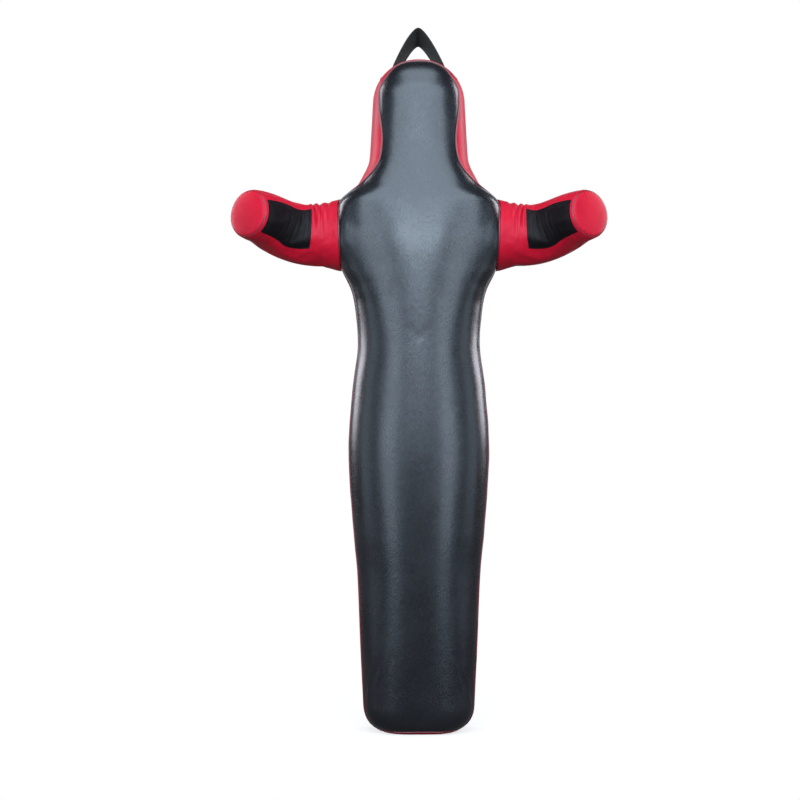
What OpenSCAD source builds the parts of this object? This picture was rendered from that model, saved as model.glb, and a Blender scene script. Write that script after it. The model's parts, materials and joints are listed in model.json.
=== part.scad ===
// Grappling dummy with one leg, two stubby stuffed arms and a webbing handle at the crown.
// Millimetres. The origin is the centre of the flat foot, +Z is up, and the chest faces -Y.
// "Left" is the dummy's own left, which is +X.

/* [Body] */
// Height from the floor to the top of the crown
body_h = 1500; // [1450:10:1550]
// Width across the head, and its depth from front to back
head_w = 208; // [200:2:212]
head_d = 182; // [176:2:188]
// Width across the chest between the armholes, and its depth
chest_w = 380; // [376:2:388]
chest_d = 216; // [211:1:221]
// Width across the waist
waist_w = 269; // [263:1:275]
// Width across the hips, and their depth
hip_w = 312; // [304:2:320]
hip_d = 212; // [206:2:216]
// Width across the foot, and its depth
foot_w = 248; // [240:2:256]
foot_d = 176; // [170:2:182]

/* [Arms] */
// Height of the armhole centres above the floor
arm_z = 1107; // [1100:1:1114]
// Radius of each armhole
armhole_r = 79; // [78.5:0.1:79.5]
// Length of an arm along its axis, from the armhole to the end cap
arm_len = 241; // [236:1:246]
// Radius of the flat end cap
cap_r = 50; // [48:0.5:51]
// How far an arm has turned forward at its end, in degrees
arm_turn = 52; // [48:1:56]

/* [Handle] */
// Width of the webbing
strap_w = 50; // [40:1:50]
// Height of the loop measured in its own plane
strap_h = 180; // [170:2:190]
// How far the loop leans back from upright, in degrees
strap_lean = 50; // [46:1:54]

/* [Casing] */
// Thickness of the leathercloth
skin_t = 2; // [1.6:0.1:2.2]
// Radius of the piping sewn into the seams
piping_r = 2; // [1.5:0.1:2.2]
// Length of the zip in the back
zip_len = 520; // [480:10:530]

/* [Hidden] */

black = [0.10, 0.10, 0.12];
red = [0.80, 0.12, 0.20];
crimson = [0.35, 0.05, 0.09];
webbing = [0.20, 0.18, 0.17];
wadding = [0.75, 0.72, 0.66];
metal = [0.62, 0.62, 0.60];

sides = 32;            // corners of each level section of the body
clear = 0.6;           // gap between neighbouring sewn pieces
big = 2000;            // longer than anything that is cut
crown_r = 100;         // height of the rounded crown
crown_z = body_h - crown_r;
foot_rx = 54;          // rounding of the foot, seen from the front
foot_ry = 24;          // the same, seen from the side
foot_rz = 60;          // height of that rounding
base_top = 5;          // top of the base panel
back_y = 105;          // the back is straight over the zip

// Body stations: height, half width, depth in front, depth behind, squareness of the section
BODY = [
    [0.04 * body_h, foot_w / 2, foot_d / 2, foot_d / 2, 2.8],
    [0.12 * body_h, foot_w / 2 + 6, foot_d / 2 + 4, foot_d / 2 + 4, 2.7],
    [0.233 * body_h, hip_w / 2 - 19, hip_d / 2 - 8, 99, 2.6],
    [0.30 * body_h, hip_w / 2 - 10, hip_d / 2 - 4, back_y, 2.6],
    [0.42 * body_h, hip_w / 2, hip_d / 2, back_y, 2.6],
    [0.515 * body_h, hip_w / 2 - 10, hip_d / 2 - 1, back_y, 2.6],
    [0.577 * body_h, waist_w / 2, hip_d / 2 - 1, back_y, 2.7],
    [0.634 * body_h, waist_w / 2 + 7, hip_d / 2 + 1, back_y, 2.9],
    [0.66 * body_h, waist_w / 2 + 17, hip_d / 2 + 2, back_y, 3.2],
    [0.687 * body_h, chest_w / 2 - 17, chest_d / 2 + 1.5, back_y, 3.7],
    [0.738 * body_h, chest_w / 2, chest_d / 2 + 4, back_y, 4.2],
    [0.786 * body_h, chest_w / 2 - 10, chest_d / 2 + 1.5, 102, 3.8],
    [0.797 * body_h, chest_w / 2 - 25.5, chest_d / 2, 100, 3.5],
    [0.806 * body_h, chest_w / 2 - 47, chest_d / 2 - 1.5, 98, 3.2],
    [0.82 * body_h, chest_w / 2 - 61, chest_d / 2 - 4.5, 94, 3.0],
    [0.85 * body_h, head_w / 2 + 6, head_d / 2 + 6.5, 84, 2.8],
    [0.88 * body_h, head_w / 2 + 2.5, head_d / 2 + 2.5, 80, 2.8],
    [crown_z, head_w / 2 - 1.5, head_d / 2 + 1, head_d / 2 - 1, 2.6]
];

// Seams seen from the side: height, and the seam's place from front to back
FRONT_SEAM = [
    [0, -28], [0.20 * body_h, -30], [0.42 * body_h, -20], [0.60 * body_h, -12],
    [0.67 * body_h, -20], [0.70 * body_h, -32], [0.79 * body_h, -32], [0.80 * body_h, -38],
    [0.812 * body_h, -60], [0.822 * body_h, -71], [0.835 * body_h, -75.5], [0.853 * body_h, -76.5],
    [0.871 * body_h, -75.5], [0.889 * body_h, -72.5], [0.907 * body_h, -67], [0.925 * body_h, -60],
    [0.94 * body_h, -58], [0.953 * body_h, -52], [0.963 * body_h, -54], [0.977 * body_h, -47],
    [0.99 * body_h, -35], [body_h, -33]
];
BACK_SEAM = [
    [0, 32], [0.30 * body_h, 36], [0.79 * body_h, 38], [0.86 * body_h, 48],
    [0.92 * body_h, 62], [0.955 * body_h, 72], [body_h, 76]
];

// Smooth curve through the stations of a table, read from one of its columns
function steep(t, c, i) = (t[i + 1][c] - t[i][c]) / (t[i + 1][0] - t[i][0]);
function slope(t, c, i) =
    i == 0 ? steep(t, c, 0) :
    i == len(t) - 1 ? steep(t, c, len(t) - 2) :
    let(a = steep(t, c, i - 1), b = steep(t, c, i)) a * b <= 0 ? 0 : 2 * a * b / (a + b);
function span(t, z, i = 0) = i >= len(t) - 2 || z < t[i + 1][0] ? i : span(t, z, i + 1);
function along(t, c, at) =
    let(
        z = min(max(at, t[0][0]), t[len(t) - 1][0]),
        i = span(t, z),
        h = t[i + 1][0] - t[i][0],
        u = (z - t[i][0]) / h
    )
    t[i][c] * (1 + 2 * u) * pow(1 - u, 2) + slope(t, c, i) * h * u * pow(1 - u, 2)
    + t[i + 1][c] * u * u * (3 - 2 * u) + slope(t, c, i + 1) * h * u * u * (u - 1);

// One level section: half width, depth in front, depth behind and squareness
function foot_cut(z, r) = z < foot_rz ? r * (1 - sqrt(1 - pow(1 - z / foot_rz, 2))) : 0;
function crown_k(z, inset) =
    z <= crown_z ? 1 : sqrt(max(0, 1 - pow((z - crown_z) / (crown_r - inset), 2)));
function half_w(z, inset = 0) = (along(BODY, 1, z) - foot_cut(z, foot_rx) - inset) * crown_k(z, inset);
function front_d(z, inset = 0) = (along(BODY, 2, z) - foot_cut(z, foot_ry) - inset) * crown_k(z, inset);
function back_d(z, inset = 0, behind = 0) =
    (along(BODY, 3, z) - foot_cut(z, foot_ry) - inset - behind) * crown_k(z, inset);
function squareness(z) = along(BODY, 4, z);
function ring_r(a, w, d, n) = pow(pow(abs(cos(a)) / w, n) + pow(abs(sin(a)) / d, n), -1 / n);
function level(z, inset, behind) = [
    for (i = [0 : sides - 1])
        let(
            a = 360 * i / sides,
            d = sin(a) < 0 ? front_d(z, inset) : back_d(z, inset, behind),
            r = ring_r(a, half_w(z, inset), d, squareness(z))
        )
        [r * cos(a), r * sin(a), z]
];
function side_x(y, z) =
    let(d = y < 0 ? front_d(z) : back_d(z), n = squareness(z))
    half_w(z) * pow(max(0, 1 - pow(abs(y) / d, n)), 1 / n);

// Heights of the sections, closer together where the outline turns fast
FOOT_Z = [0, 2, base_top, 11, 19, 31, 45, foot_rz];
LEG_Z = [for (i = [1 : 8]) foot_rz + 0.06 * body_h * i];
WAIST_Z = [for (i = [0 : 3]) (0.545 + 0.03 * i) * body_h];
CHEST_Z = [for (i = [1 : 5]) (0.633 + 0.028 * i) * body_h];
SHOULDER_Z = [for (i = [0 : 6]) (0.784 + 0.0075 * i) * body_h];
NECK_Z = [for (i = [0 : 4]) (0.843 + 0.018 * i) * body_h];
function heights(inset, low) = concat(
    [for (z = concat(FOOT_Z, LEG_Z, WAIST_Z, CHEST_Z, SHOULDER_Z, NECK_Z)) if (z >= low) z],
    [for (i = [0 : 7]) crown_z + (crown_r - inset) * sin(12.4 * i)]
);

// A closed solid through a list of rings that all have the same number of corners
module through(rings) {
    n = len(rings[0]);
    last = len(rings) - 1;
    polyhedron(
        [for (ring = rings) each ring],
        concat(
            [[for (i = [0 : n - 1]) i]],
            [for (j = [0 : last - 1], i = [0 : n - 1])
                let(k = (i + 1) % n)
                [j * n + i, (j + 1) * n + i, (j + 1) * n + k, j * n + k]],
            [[for (i = [n - 1 : -1 : 0]) last * n + i]]
        )
    );
}

// A closed solid whose rings follow each other all the way round, out along one face and back along another
module round_trip(rings) {
    n = len(rings[0]);
    count = len(rings);
    polyhedron(
        [for (ring = rings) each ring],
        [for (j = [0 : count - 1], i = [0 : n - 1])
            let(k = (i + 1) % n, m = (j + 1) % count)
            [j * n + i, m * n + i, m * n + k, j * n + k]]
    );
}

// A stretch of piping or cord of radius r along a list of points
function unit(v) = v / norm(v);
function heading(p, i) = unit(p[min(i + 1, len(p) - 1)] - p[max(i - 1, 0)]);
module cord(points, r, ref, corners = 6) {
    through([
        for (i = [0 : len(points) - 1])
            let(t = heading(points, i), a = unit(cross(t, ref)), b = cross(a, t))
            [for (k = [0 : corners - 1])
                points[i] + r * (cos(360 * k / corners) * a + sin(360 * k / corners) * b)]
    ]);
}

// Sewn skins stay as one mesh each, with no bores or pins in them
module sewn() resize([0, 0, 0]) children();

module loft(inset, low = 0, behind = 0)
    through([for (z = heights(inset, low)) level(z, inset, behind)]);

// Everything between two curves in the side view, across the whole width
SEAM_Z = concat(
    [-1, 0.2, 0.42, 0.55, 0.6, 0.64, 0.67, 0.685, 0.7, 0.75], [for (i = [0 : 20]) 0.785 + 0.01 * i], [0.995]
) * body_h;
function seam_edge(table, far, shift) =
    [for (z = SEAM_Z) [table == undef ? far : along(table, 1, z) + shift, z]];
module side_slab(table_a, shift_a, table_b, shift_b) {
    edge_a = seam_edge(table_a, -big, shift_a);
    edge_b = seam_edge(table_b, big, shift_b);
    last = len(SEAM_Z) - 1;
    top = [0, 50];
    rotate([90, 0, 90])
        linear_extrude(big, center = true)
            polygon(concat(
                edge_a, [edge_a[last] + top, edge_b[last] + top],
                [for (i = [last : -1 : 0]) edge_b[i]]
            ));
}

module armholes(r)
    for (s = [-1, 1])
        translate([s * 100, 0, arm_z])
            rotate([0, s * 90, 0])
                cylinder(h = 200, r = r, $fn = 48);

// The casing of the body above the base panel, with both armholes cut
module casing()
    difference() {
        loft(0, base_top);
        loft(skin_t, 0);
        translate([-big / 2, -big / 2, -1]) cube([big, big, base_top + clear + 1]);
        armholes(armhole_r);
    }

module box_between(low, high) translate(low) cube(high - low);

module front_panel() color(black)
    sewn() intersection() {
        casing();
        side_slab(undef, 0, FRONT_SEAM, -clear);
    }

module gusset(low, high)
    sewn() intersection() {
        casing();
        side_slab(FRONT_SEAM, clear, BACK_SEAM, -clear);
        box_between(low, high);
    }

module head_gusset() color(red)
    gusset([-big, -big, arm_z + 40], [big, big, big]);

module flank_gusset(s) color(red)
    gusset(s > 0 ? [0, -big, 0] : [-big, -big, 0], s > 0 ? [big, big, arm_z - 40] : [0, big, arm_z - 40]);

// Zip, measured down the straight of the back
zip_top = 1010;
zip_low = zip_top - zip_len;
zip_gap = 9;           // half the opening between the back panels
tape_w = 13;
tape_t = 0.8;
tape_y = back_y - 3.4;
tooth_w = 3.4;
tooth_t = 3.2;
tooth_pitch = 5;
slit = 0.8;            // half the slit between the two rows of teeth

module back_panel(s) color(black)
    sewn() difference() {
        intersection() {
            casing();
            side_slab(BACK_SEAM, clear, undef, 0);
            box_between([s > 0 ? clear : -big, -big, -1], [s > 0 ? big : -clear, big, big]);
        }
        box_between([-zip_gap, 60, zip_low - 8], [zip_gap, 200, zip_top + 10]);
    }

module base_panel() color(red)
    through([for (z = [0, 2, base_top]) level(z, 0, 0)]);

// Flat welt round the edge of the base, just below the panels that it closes
welt_h = 3.4;
welt_gap = 1.4;
welt_t = 1.6;
module base_band(out, low, high)
    through([for (z = [low, high]) [for (p = level(base_top, -out, 0)) [p[0], p[1], z]]]);
module base_welt() color(crimson)
    sewn() difference() {
        base_band(welt_gap + welt_t, base_top + 0.4 - welt_h, base_top + 0.4);
        base_band(welt_gap, 0, 2 * base_top);
    }

// Piping lies on a seam, just clear of the two panels that it closes
lift = piping_r + 1.4;
end_gap = 8;           // from the ends of the piping to the base and to the armholes
crown_low = crown_z + 20;
function skin_out(y, z) = unit([
    2, side_x(y - 1, z) - side_x(y + 1, z), side_x(y, z - 1) - side_x(y, z + 1)
]);
function seam_point(table, z, s) =
    let(y = along(table, 1, z), p = [side_x(y, z), y, z] + lift * skin_out(y, z))
    [s * p[0], p[1], p[2]];
// The seam's highest point, midway between the two sides
function seam_peak(table) =
    let(
        y = along(table, 1, body_h), d = y < 0 ? front_d(crown_z) : back_d(crown_z),
        up = unit([0, y / (d * d), sqrt(1 - pow(y / d, 2)) / crown_r])
    )
    [0, y, crown_z + crown_r * sqrt(1 - pow(y / d, 2))] + lift * up;
module piping(table) {
    low_end = base_top + end_gap;
    high_end = arm_z - armhole_r - end_gap;
    shoulder = arm_z + armhole_r + end_gap;
    peak = seam_peak(table);
    top_z = peak[2] - lift - 0.8;
    up = [for (i = [0 : 24]) shoulder + (crown_low - shoulder) * i / 24];
    over = [for (i = [1 : 8]) top_z - (top_z - crown_low) * pow(1 - i / 8, 2)];
    half = concat(up, over);
    foot = [for (z = [low_end : 6 : foot_rz]) z];
    leg = [for (i = [1 : 24]) foot_rz + (high_end - foot_rz) * i / 24];
    for (s = [-1, 1])
        cord([for (z = concat(foot, leg)) seam_point(table, z, s)], piping_r, [0, 1, 0]);
    cord(
        concat(
            [for (z = half) seam_point(table, z, 1)], [peak],
            [for (i = [len(half) - 1 : -1 : 0]) seam_point(table, half[i], -1)]
        ),
        piping_r, [0, 1, 0]
    );
}
module front_piping() color(crimson) piping(FRONT_SEAM);
module back_piping() color(crimson) piping(BACK_SEAM);

// Arms. Each flexes about its armhole's centre, where the root of the sleeve is a ball.
pivot = [178, 0, arm_z];
root_r = 75.5;         // outer radius of the sleeve's ball-shaped root
root_end = 34;         // where the ball gives way to the tube
wad_r = 40;
socket_r = 78;
arm_sides = 24;
ring_step = arm_len / 20;
SLEEVE = [
    [root_end, sqrt(root_r * root_r - root_end * root_end)], [70, 65.5], [110, 63],
    [160, 59], [arm_len - 16, 54.5], [arm_len, cap_r + 0.5]
];
// Turn towards the front, and rise, of the arm's axis at a distance from the pivot
function ease(u) = let(v = min(max(u, 0), 1)) v * v * (3 - 2 * v);
function turn(s) = arm_turn * ease((s - 20) / 180);
function rise(s) = let(u = min(max((s - 40) / 200, 0), 1)) 8 * u + 15 * pow(sin(180 * u), 2);
function dir(s) = [cos(rise(s)) * cos(turn(s)), -cos(rise(s)) * sin(turn(s)), sin(rise(s))];
function fore(s) = [-sin(turn(s)), -cos(turn(s)), 0];
function up_of(s) = cross(fore(s), dir(s));
AXIS = [
    for (i = 0, p = pivot; i <= 20; i = i + 1, p = p + ring_step * dir((i - 0.5) * ring_step)) p
];
function axis_at(s) =
    s <= 0 ? pivot + [s, 0, 0] :
    let(i = min(floor(s / ring_step), 19), u = s / ring_step - i) AXIS[i] * (1 - u) + AXIS[i + 1] * u;
function tube_r(s) = s < root_end ? sqrt(max(1, root_r * root_r - s * s)) : along(SLEEVE, 1, s);
function arm_point(s, a, r) = axis_at(s) + r * (cos(a) * fore(s) + sin(a) * up_of(s));
function arm_ring(s, inset) = [
    for (k = [0 : arm_sides - 1]) arm_point(s, -360 * k / arm_sides, tube_r(s) - inset)
];
ROOT_S = [-30, -20, -8, 4, 16, 26, root_end];
TUBE_S = [for (i = [1 : 11]) root_end + (arm_len - root_end) * i / 11];
SLEEVE_S = concat(ROOT_S, TUBE_S);

module mirrored(s) mirror([s > 0 ? 0 : 1, 0, 0]) children();

module sleeve(s) color(red)
    mirrored(s) round_trip(concat(
        [for (q = SLEEVE_S) arm_ring(q, 0)],
        [for (i = [len(SLEEVE_S) - 1 : -1 : 0]) arm_ring(SLEEVE_S[i], skin_t)]
    ));

ball_r = 71.5;         // the filling's ball, inside the sleeve's root
// A ball at the root, then stuffing out to the end cap, with a hollow for the wad
module arm_filling(s) color(wadding)
    mirrored(s) difference() {
        through([
            for (q = concat([-70, -64, -54, -42], SLEEVE_S))
                let(r = q < root_end ? sqrt(ball_r * ball_r - q * q) : tube_r(q) - root_r + ball_r)
                [for (k = [0 : arm_sides - 1]) arm_point(min(q, arm_len - 2), -360 * k / arm_sides, r)]
        ]);
        translate(pivot) sphere(r = wad_r + 1.5, $fn = 64);
    }

module shoulder_wad(s) color(wadding)
    mirrored(s) translate(pivot) sphere(r = wad_r, $fn = 64);

// Turns +Z to point out of the arm's end
module at_arm_end(s)
    mirrored(s) translate(axis_at(arm_len))
        rotate([0, 0, -turn(arm_len)]) rotate([0, 90 - rise(arm_len), 0]) children();

module fist_cap(s) color(red)
    at_arm_end(s) rotate_extrude($fn = 96)
        polygon(concat([[0, clear], [cap_r, clear]],
            [for (i = [0 : 5]) [cap_r - 0.5 - i * i * 0.4, 3 + i * 0.9]], [[0, 9]]));

module cap_welt(s) color(crimson)
    at_arm_end(s) rotate_extrude($fn = 96)
        translate([cap_r + 4.2, -1]) circle(r = piping_r, $fn = 24);

module armhole_welt(s) color(crimson)
    mirrored(s) translate([pivot[0] + 8, 0, arm_z]) rotate([0, 90, 0])
        rotate_extrude($fn = 96) translate([armhole_r + piping_r + 1, 0]) circle(r = piping_r, $fn = 24);

// Patch of leathercloth over the front and upper face of the forearm
patch_from = 72;
patch_to = arm_len - 5;
// Share of the patch's length, and the angles of its lower and upper edges round the arm
PATCH = [[0, -31, 53], [0.5, -50, 37], [1, -49, 33]];
function patch_angle(v, u) = along(PATCH, 2, v) * (1 - u) + along(PATCH, 1, v) * u;
module forearm_patch(s) color(black) {
    cols = 10;
    rows = 10;
    // Each ring runs out along the outer face and back along the inner one
    mirrored(s) sewn() through([
        for (j = [0 : rows])
            let(q = patch_from + (patch_to - patch_from) * j / rows)
            concat(
                [for (i = [0 : cols]) arm_point(q, patch_angle(j / rows, i / cols), tube_r(q) + 2.6)],
                [for (i = [cols : -1 : 0]) arm_point(q, patch_angle(j / rows, i / cols), tube_r(q) + 1.0)]
            )
    ]);
}

// Stuffing of the head, body and leg, with a round hollow at each armhole
module body_filling() color(wadding)
    difference() {
        loft(skin_t + 3, base_top + 2, 4);
        for (s = [-1, 1]) mirrored(s) translate(pivot) sphere(r = socket_r, $fn = 96);
    }

// Handle: a loop of webbing whose ends are sewn flat to the crown
strap_t = 3;
strap_x = 60;          // half the spread of the ends
strap_y = 56;          // the ends are sewn behind the top of the crown
strap_up = 5;          // the loop starts this far above the leathercloth
strap_k = pow(
    pow(strap_x / half_w(crown_z), squareness(crown_z)) + pow(strap_y / back_d(crown_z), squareness(crown_z)),
    1 / squareness(crown_z)
);
handle_at = [0, strap_y, crown_z + crown_r * sqrt(1 - strap_k * strap_k) + strap_up];
tab_len = 34;
end_up = strap_w / 2 + 6.5;   // height of the centre of each rounded end above the sewn line
arch_bend = 0.68;      // 0.5 would be a round arch, 1 a straight-sided one
function arch_x(v) = strap_x * pow(1 - v / strap_h, arch_bend);
ARCH = [for (i = [0 : 18]) let(v = strap_h * (1 - pow(1 - i / 18, 2))) [arch_x(v), v]];
function arch_n(i) = let(t = heading(ARCH, i)) i == 18 ? [0, 1] : [t[1], -t[0]];
function arch_side(shift) = [
    for (i = [0 : 18]) let(p = ARCH[i] + shift * arch_n(i)) [max(0, p[0]), p[1]]
];
function flip(points) = [for (i = [len(points) - 2 : -1 : 0]) [-points[i][0], points[i][1]]];
module arch_band() {
    outer = arch_side(strap_t / 2);
    inner = arch_side(-strap_t / 2);
    around = concat(inner, flip(inner));
    polygon(concat(outer, flip(outer), [for (i = [len(around) - 1 : -1 : 0]) around[i]]));
}

module handle_strap() color(webbing)
    translate(handle_at) rotate([-strap_lean, 0, 0])
        intersection() {
            rotate([90, 0, 0]) linear_extrude(strap_w, center = true) arch_band();
            // Rounded ends turn on the sewn line without touching the crown
            rotate([90, 0, 90]) linear_extrude(2 * strap_x + 20, center = true) {
                translate([0, end_up]) circle(d = strap_w, $fn = 48);
                translate([-strap_w / 2, end_up]) square([strap_w, strap_h]);
            }
        }

module handle_tab(s) color(webbing)
    mirrored(s) sewn() intersection() {
        difference() {
            loft(-clear - strap_t);
            loft(-clear);
        }
        translate(handle_at) rotate([-strap_lean, 0, 0])
            translate([strap_x - 6, -strap_w / 2, -70]) cube([tab_len, strap_w, 90]);
    }

// Zip: two tapes, two rows of moulded teeth, stops, a slider and its pull
module zip_tape(s) color(black)
    mirrored(s) box_between(
        [slit + tooth_w + 0.1, tape_y, zip_low - 6], [slit + tooth_w + tape_w, tape_y + tape_t, zip_top + 8]
    );

module zip_teeth(s) color(metal)
    mirrored(s) translate([0, tape_y + tape_t / 2 + tooth_t / 2, 0])
        rotate([90, 0, 0]) linear_extrude(tooth_t)
            polygon(concat(
                [[slit + tooth_w, zip_top], [slit + tooth_w, zip_low]],
                [for (i = [0 : floor(zip_len / tooth_pitch) - 1], c = [0 : 3])
                    [c == 0 || c == 3 ? slit + tooth_w - 1.2 : slit,
                     zip_low + tooth_pitch * (i + 0.1) + [0, 0.4, 2.6, 3][c]]]
            ));

module zip_top_stop() color(metal)
    for (s = [-1, 1])
        mirrored(s) box_between([slit, tape_y - 0.8, zip_top + 1], [slit + 3, tape_y + 2.4, zip_top + 5]);

module zip_bottom_stop() color(metal)
    box_between([-slit - 3, tape_y - 0.8, zip_low - 6], [slit + 3, tape_y + 2.4, zip_low - 1]);

slider_z = zip_top - 12;
slider_len = 14;
plate_x = 6.4;
pin_y = back_y + 4.6;
pin_r = 1.2;
module zip_slider() color(metal)
    translate([0, 0, slider_z]) {
        end = slider_len / 2;
        top = tape_y + 4.6;
        bottom = tape_y - 2.4;
        box_between([-plate_x, tape_y + 2.8, -end], [plate_x, top, end]);
        box_between([-plate_x, bottom, -end], [plate_x, tape_y - 1.3, end]);
        box_between([-0.5, bottom, 2.6], [0.5, top, end]);
        for (s = [-1, 1])
            mirrored(s) {
                box_between([4.7, tape_y + 1.2, -end], [plate_x, top, end]);
                box_between([3.3, tape_y + 2.8, -2.4], [4.5, pin_y + 2.2, 2.4]);
            }
        translate([-4, pin_y, 0]) rotate([0, 90, 0]) cylinder(h = 8, r = pin_r, $fn = 48);
    }

pull_len = 36;
module zip_pull() color(metal)
    translate([0, pin_y, slider_z])
        difference() {
            union() {
                translate([-2.9, 0, 0]) rotate([0, 90, 0]) cylinder(h = 5.8, r = 2.6, $fn = 48);
                box_between([-2.9, -0.2, -pull_len], [2.9, 1.6, 0]);
                translate([0, 1.6, -pull_len]) rotate([90, 0, 0]) cylinder(h = 1.8, r = 5.5, $fn = 48);
            }
            translate([-5, 0, 0]) rotate([0, 90, 0]) cylinder(h = 10, r = pin_r + 0.2, $fn = 48);
            translate([0, 3, -pull_len]) rotate([90, 0, 0]) cylinder(h = 5, r = 2.6, $fn = 48);
        }

front_panel();
head_gusset();
flank_gusset(1);  // left_flank_gusset
flank_gusset(-1);  // right_flank_gusset
back_panel(1);  // back_panel_left
back_panel(-1);  // back_panel_right
base_panel();
base_welt();
front_piping();
back_piping();
armhole_welt(1);  // left_armhole_welt
armhole_welt(-1);  // right_armhole_welt
body_filling();
handle_tab(1);  // handle_tab_left
handle_tab(-1);  // handle_tab_right
handle_strap();
zip_tape(1);  // zip_tape_left
zip_tape(-1);  // zip_tape_right
zip_teeth(1);  // zip_teeth_left
zip_teeth(-1);  // zip_teeth_right
zip_top_stop();
zip_bottom_stop();
zip_slider();
zip_pull();
shoulder_wad(1);  // left_shoulder_wad
arm_filling(1);  // left_arm_filling
sleeve(1);  // left_sleeve
fist_cap(1);  // left_fist_cap
cap_welt(1);  // left_cap_welt
forearm_patch(1);  // left_forearm_patch
shoulder_wad(-1);  // right_shoulder_wad
arm_filling(-1);  // right_arm_filling
sleeve(-1);  // right_sleeve
fist_cap(-1);  // right_fist_cap
cap_welt(-1);  // right_cap_welt
forearm_patch(-1);  // right_forearm_patch
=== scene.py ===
"""Grappling dummy: leathercloth casing, stuffed arms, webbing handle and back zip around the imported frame.

Metres, the CAD's own frame: the origin is the centre of the flat foot, +Z is up and the chest faces -Y.
"""
import json
import math

import bmesh
import bpy
import numpy as np
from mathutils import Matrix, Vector, kdtree, noise


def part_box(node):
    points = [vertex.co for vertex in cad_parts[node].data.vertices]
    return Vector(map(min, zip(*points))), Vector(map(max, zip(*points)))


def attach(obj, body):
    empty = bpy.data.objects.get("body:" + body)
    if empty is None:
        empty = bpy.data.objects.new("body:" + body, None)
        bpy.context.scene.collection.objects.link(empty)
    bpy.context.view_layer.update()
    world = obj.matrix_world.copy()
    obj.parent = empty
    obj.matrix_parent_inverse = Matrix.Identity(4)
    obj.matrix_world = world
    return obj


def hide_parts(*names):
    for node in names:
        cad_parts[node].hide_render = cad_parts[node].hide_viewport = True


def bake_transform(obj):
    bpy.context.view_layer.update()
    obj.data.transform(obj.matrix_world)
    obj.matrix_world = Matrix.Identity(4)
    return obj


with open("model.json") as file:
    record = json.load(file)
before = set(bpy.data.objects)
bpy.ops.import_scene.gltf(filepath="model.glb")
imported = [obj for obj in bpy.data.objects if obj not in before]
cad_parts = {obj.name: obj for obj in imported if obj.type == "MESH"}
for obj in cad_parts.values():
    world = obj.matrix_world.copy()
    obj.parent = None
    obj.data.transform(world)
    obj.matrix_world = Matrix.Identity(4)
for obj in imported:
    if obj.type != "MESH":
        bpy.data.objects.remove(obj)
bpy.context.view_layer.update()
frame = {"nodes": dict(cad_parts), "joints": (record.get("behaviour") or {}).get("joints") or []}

MM = 0.001

# ---------------------------------------------------------------- sizes taken from the frame
BODY_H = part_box("head_gusset")[1][2]
BASE_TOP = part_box("base_panel")[1][2]
ZIP_LOW, ZIP_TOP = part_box("zip_teeth_left")[0][2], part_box("zip_teeth_left")[1][2]
ARM_Z = (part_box("left_armhole_welt")[0][2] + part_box("left_armhole_welt")[1][2]) / 2
PIVOT = np.array([0.178, 0.0, ARM_Z])
ARMHOLE_R = 79 * MM
ARM_LEN = 241 * MM
CAP_R = 50 * MM
ARM_TURN = 52
CROWN_R = 100 * MM
CROWN_Z = BODY_H - CROWN_R
FOOT_R = (54 * MM, 24 * MM, 60 * MM)     # rounding of the foot: across, front to back, and up

# Driving widths and depths in mm, as in the CAD
HEAD_W, HEAD_D = 208, 182
CHEST_W, CHEST_D = 380, 216
WAIST_W = 269
HIP_W, HIP_D = 312, 212
FOOT_W, FOOT_D = 248, 176
BACK_D = 105

# Body stations: share of the height, half width, depth in front, depth behind, squareness of the section
BODY = np.array([
    [0.04, FOOT_W / 2, FOOT_D / 2, FOOT_D / 2, 2.8],
    [0.12, FOOT_W / 2 + 6, FOOT_D / 2 + 4, FOOT_D / 2 + 4, 2.7],
    [0.233, HIP_W / 2 - 19, HIP_D / 2 - 8, 99, 2.6],
    [0.30, HIP_W / 2 - 10, HIP_D / 2 - 4, BACK_D, 2.6],
    [0.42, HIP_W / 2, HIP_D / 2, BACK_D, 2.6],
    [0.515, HIP_W / 2 - 10, HIP_D / 2 - 1, BACK_D, 2.6],
    [0.577, WAIST_W / 2, HIP_D / 2 - 1, BACK_D, 2.7],
    [0.634, WAIST_W / 2 + 7, HIP_D / 2 + 1, BACK_D, 2.9],
    [0.66, WAIST_W / 2 + 17, HIP_D / 2 + 2, BACK_D, 3.2],
    [0.687, CHEST_W / 2 - 17, CHEST_D / 2 + 1.5, BACK_D, 3.7],
    [0.738, CHEST_W / 2, CHEST_D / 2 + 4, BACK_D, 4.2],
    [0.786, CHEST_W / 2 - 10, CHEST_D / 2 + 1.5, 102, 3.8],
    [0.797, CHEST_W / 2 - 25.5, CHEST_D / 2, 100, 3.5],
    [0.806, CHEST_W / 2 - 47, CHEST_D / 2 - 1.5, 98, 3.2],
    [0.82, CHEST_W / 2 - 61, CHEST_D / 2 - 4.5, 94, 3.0],
    [0.85, HEAD_W / 2 + 6, HEAD_D / 2 + 6.5, 84, 2.8],
    [0.88, HEAD_W / 2 + 2.5, HEAD_D / 2 + 2.5, 80, 2.8],
    [CROWN_Z / BODY_H, HEAD_W / 2 - 1.5, HEAD_D / 2 + 1, HEAD_D / 2 - 1, 2.6],
]) * [BODY_H, MM, MM, MM, 1]

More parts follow.
